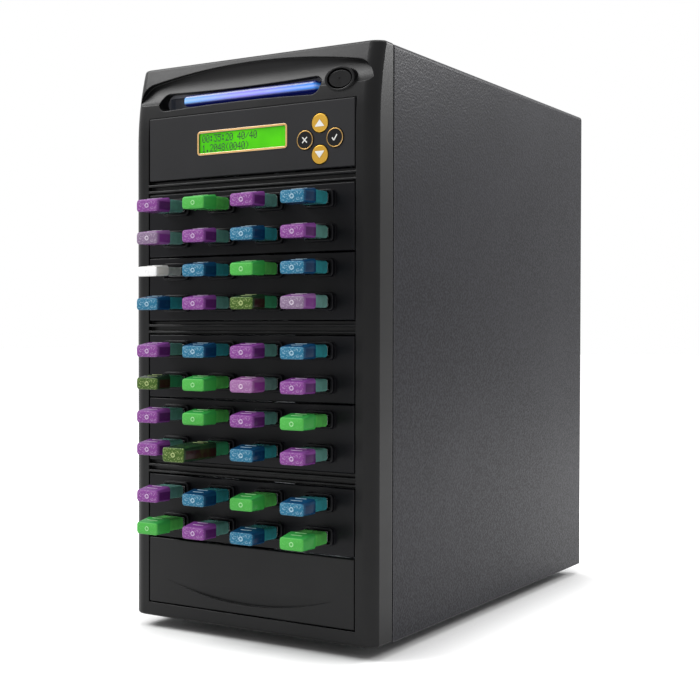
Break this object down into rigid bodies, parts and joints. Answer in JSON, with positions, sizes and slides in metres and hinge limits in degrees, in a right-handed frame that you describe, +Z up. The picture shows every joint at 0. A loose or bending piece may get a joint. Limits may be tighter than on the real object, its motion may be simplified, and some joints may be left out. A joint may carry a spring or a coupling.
{
  "type": "usb duplicator",
  "caption": "Free-standing tower that copies USB sticks: moulded front with light slot, display, keys and rows of ports holding sticks, in a powder-coated metal case with fans and a power supply.",
  "frame": {"origin": "centre of the whole object's box, on the plane that the feet stand on", "axes": "+Z up, the front with its ports looks along -Y, +X to the right of someone who faces it"},
  "size_m": [0.186, 0.3808, 0.369],
  "materials": {
    "front_moulding": "satin black moulded plastic with a very fine texture",
    "control_panel": "matt black moulded plastic",
    "usb_panel": "satin black moulded plastic",
    "display": "green lit display behind a clear lens",
    "display_trim": "thin copper coloured frame",
    "key_gold": "gold coloured key with a white triangle",
    "key_black": "gloss black key with a gold ring",
    "board": "green printed circuit board with its parts",
    "light_tube": "frosted tube lit blue",
    "reflector": "silver grey moulded plastic",
    "power_button": "gloss black moulded plastic",
    "inner_plastic": "black moulded plastic",
    "socket_shell": "bright plated steel",
    "tongue": "white moulded plastic",
    "stick": "tinted translucent moulded plastic, purple, blue, green and olive",
    "cover_steel": "dark grey powder coat with a fine leather-like grain",
    "plain_steel": "zinc plated sheet steel",
    "rubber": "black rubber",
    "screw": "black zinc plated screws",
    "guard_wire": "bright plated wire"
  },
  "bodies": {
    "case": {"front_bezel": "front_moulding", "bottom_cover": "front_moulding", "control_panel": "control_panel", "lcd_display": "display", "lcd_trim": "display_trim", "control_board": "board", "light_tube": "light_tube", "light_reflector": "reflector", "power_switch": "inner_plastic", "socket_tongues": "tongue", "wrap_cover": "cover_steel", "front_frame": "cover_steel", "chassis_floor": "plain_steel", "bay_cage_left": "plain_steel", "bay_cage_right": "plain_steel", "rear_panel": "cover_steel", "fan_frames": "inner_plastic", "fan_guards": "guard_wire", "supply_case": "plain_steel", "supply_board": "board", "mains_inlet": "inner_plastic", "rocker_housing": "inner_plastic", "cover_screws": "screw", "rear_screws": "screw", "module_screws": "plain_steel", "feet": "rubber", "usb_panel_1": "usb_panel", "usb_panel_2": "usb_panel", "usb_panel_3": "usb_panel", "usb_panel_4": "usb_panel", "usb_panel_5": "usb_panel", "usb_sockets_1": "socket_shell", "usb_sockets_2": "socket_shell", "usb_sockets_3": "socket_shell", "usb_sockets_4": "socket_shell", "usb_sockets_5": "socket_shell", "hub_board_1": "board", "hub_board_2": "board", "hub_board_3": "board", "hub_board_4": "board", "hub_board_5": "board"},
    "key_up": {"key_up": "key_gold"},
    "key_down": {"key_down": "key_gold"},
    "key_escape": {"key_escape": "key_black"},
    "key_enter": {"key_enter": "key_black"},
    "power_button": {"power_button": "power_button"},
    "supply_switch": {"supply_switch": "inner_plastic"},
    "case_fan_rotor": {"case_fan_rotor": "inner_plastic"},
    "supply_fan_rotor": {"supply_fan_rotor": "inner_plastic"},
    "stick_row_1": {"stick_row_1": "stick"},
    "stick_row_2": {"stick_row_2": "stick"},
    "stick_row_3": {"stick_row_3": "stick"},
    "stick_row_4": {"stick_row_4": "stick"},
    "stick_row_5": {"stick_row_5": "stick"},
    "stick_row_6": {"stick_row_6": "stick"},
    "stick_row_7": {"stick_row_7": "stick"},
    "stick_row_8": {"stick_row_8": "stick"},
    "stick_row_9": {"stick_row_9": "stick"},
    "stick_row_10": {"stick_row_10": "stick"}
  },
  "joints": [
    {"name": "key_up_press", "type": "slide", "parent": "case", "child": "key_up", "axis": [0, 1, 0], "range_m": [0, 0.0005], "stiffness_N_per_m": 800, "springref_m": -0.0003},
    {"name": "key_down_press", "type": "slide", "parent": "case", "child": "key_down", "axis": [0, 1, 0], "range_m": [0, 0.0005], "stiffness_N_per_m": 800, "springref_m": -0.0003},
    {"name": "key_escape_press", "type": "slide", "parent": "case", "child": "key_escape", "axis": [0, 1, 0], "range_m": [0, 0.0005], "stiffness_N_per_m": 800, "springref_m": -0.0003},
    {"name": "key_enter_press", "type": "slide", "parent": "case", "child": "key_enter", "axis": [0, 1, 0], "range_m": [0, 0.0005], "stiffness_N_per_m": 800, "springref_m": -0.0003},
    {"name": "power_button_press", "type": "slide", "parent": "case", "child": "power_button", "axis": [0, 1, 0], "range_m": [0, 0.0025], "stiffness_N_per_m": 600, "springref_m": -0.001},
    {"name": "supply_switch_tilt", "type": "hinge", "parent": "case", "child": "supply_switch", "pos_m": [-0.045, 0.1842, 0.3415], "axis": [1, 0, 0], "range_deg": [0, 16]},
    {"name": "case_fan_spin", "type": "hinge", "parent": "case", "child": "case_fan_rotor", "pos_m": [0, 0.1731, 0.158], "axis": [0, 1, 0], "continuous": true},
    {"name": "supply_fan_spin", "type": "hinge", "parent": "case", "child": "supply_fan_rotor", "pos_m": [0.024, 0.1721, 0.3235], "axis": [0, 1, 0], "continuous": true},
    {"name": "stick_row_1_pull", "type": "slide", "parent": "case", "child": "stick_row_1", "axis": [0, -1, 0], "range_m": [0, 0.025]},
    {"name": "stick_row_2_pull", "type": "slide", "parent": "case", "child": "stick_row_2", "axis": [0, -1, 0], "range_m": [0, 0.025]},
    {"name": "stick_row_3_pull", "type": "slide", "parent": "case", "child": "stick_row_3", "axis": [0, -1, 0], "range_m": [0, 0.025]},
    {"name": "stick_row_4_pull", "type": "slide", "parent": "case", "child": "stick_row_4", "axis": [0, -1, 0], "range_m": [0, 0.025]},
    {"name": "stick_row_5_pull", "type": "slide", "parent": "case", "child": "stick_row_5", "axis": [0, -1, 0], "range_m": [0, 0.025]},
    {"name": "stick_row_6_pull", "type": "slide", "parent": "case", "child": "stick_row_6", "axis": [0, -1, 0], "range_m": [0, 0.025]},
    {"name": "stick_row_7_pull", "type": "slide", "parent": "case", "child": "stick_row_7", "axis": [0, -1, 0], "range_m": [0, 0.025]},
    {"name": "stick_row_8_pull", "type": "slide", "parent": "case", "child": "stick_row_8", "axis": [0, -1, 0], "range_m": [0, 0.025]},
    {"name": "stick_row_9_pull", "type": "slide", "parent": "case", "child": "stick_row_9", "axis": [0, -1, 0], "range_m": [0, 0.025]},
    {"name": "stick_row_10_pull", "type": "slide", "parent": "case", "child": "stick_row_10", "axis": [0, -1, 0], "range_m": [0, 0.025]}
  ]
}
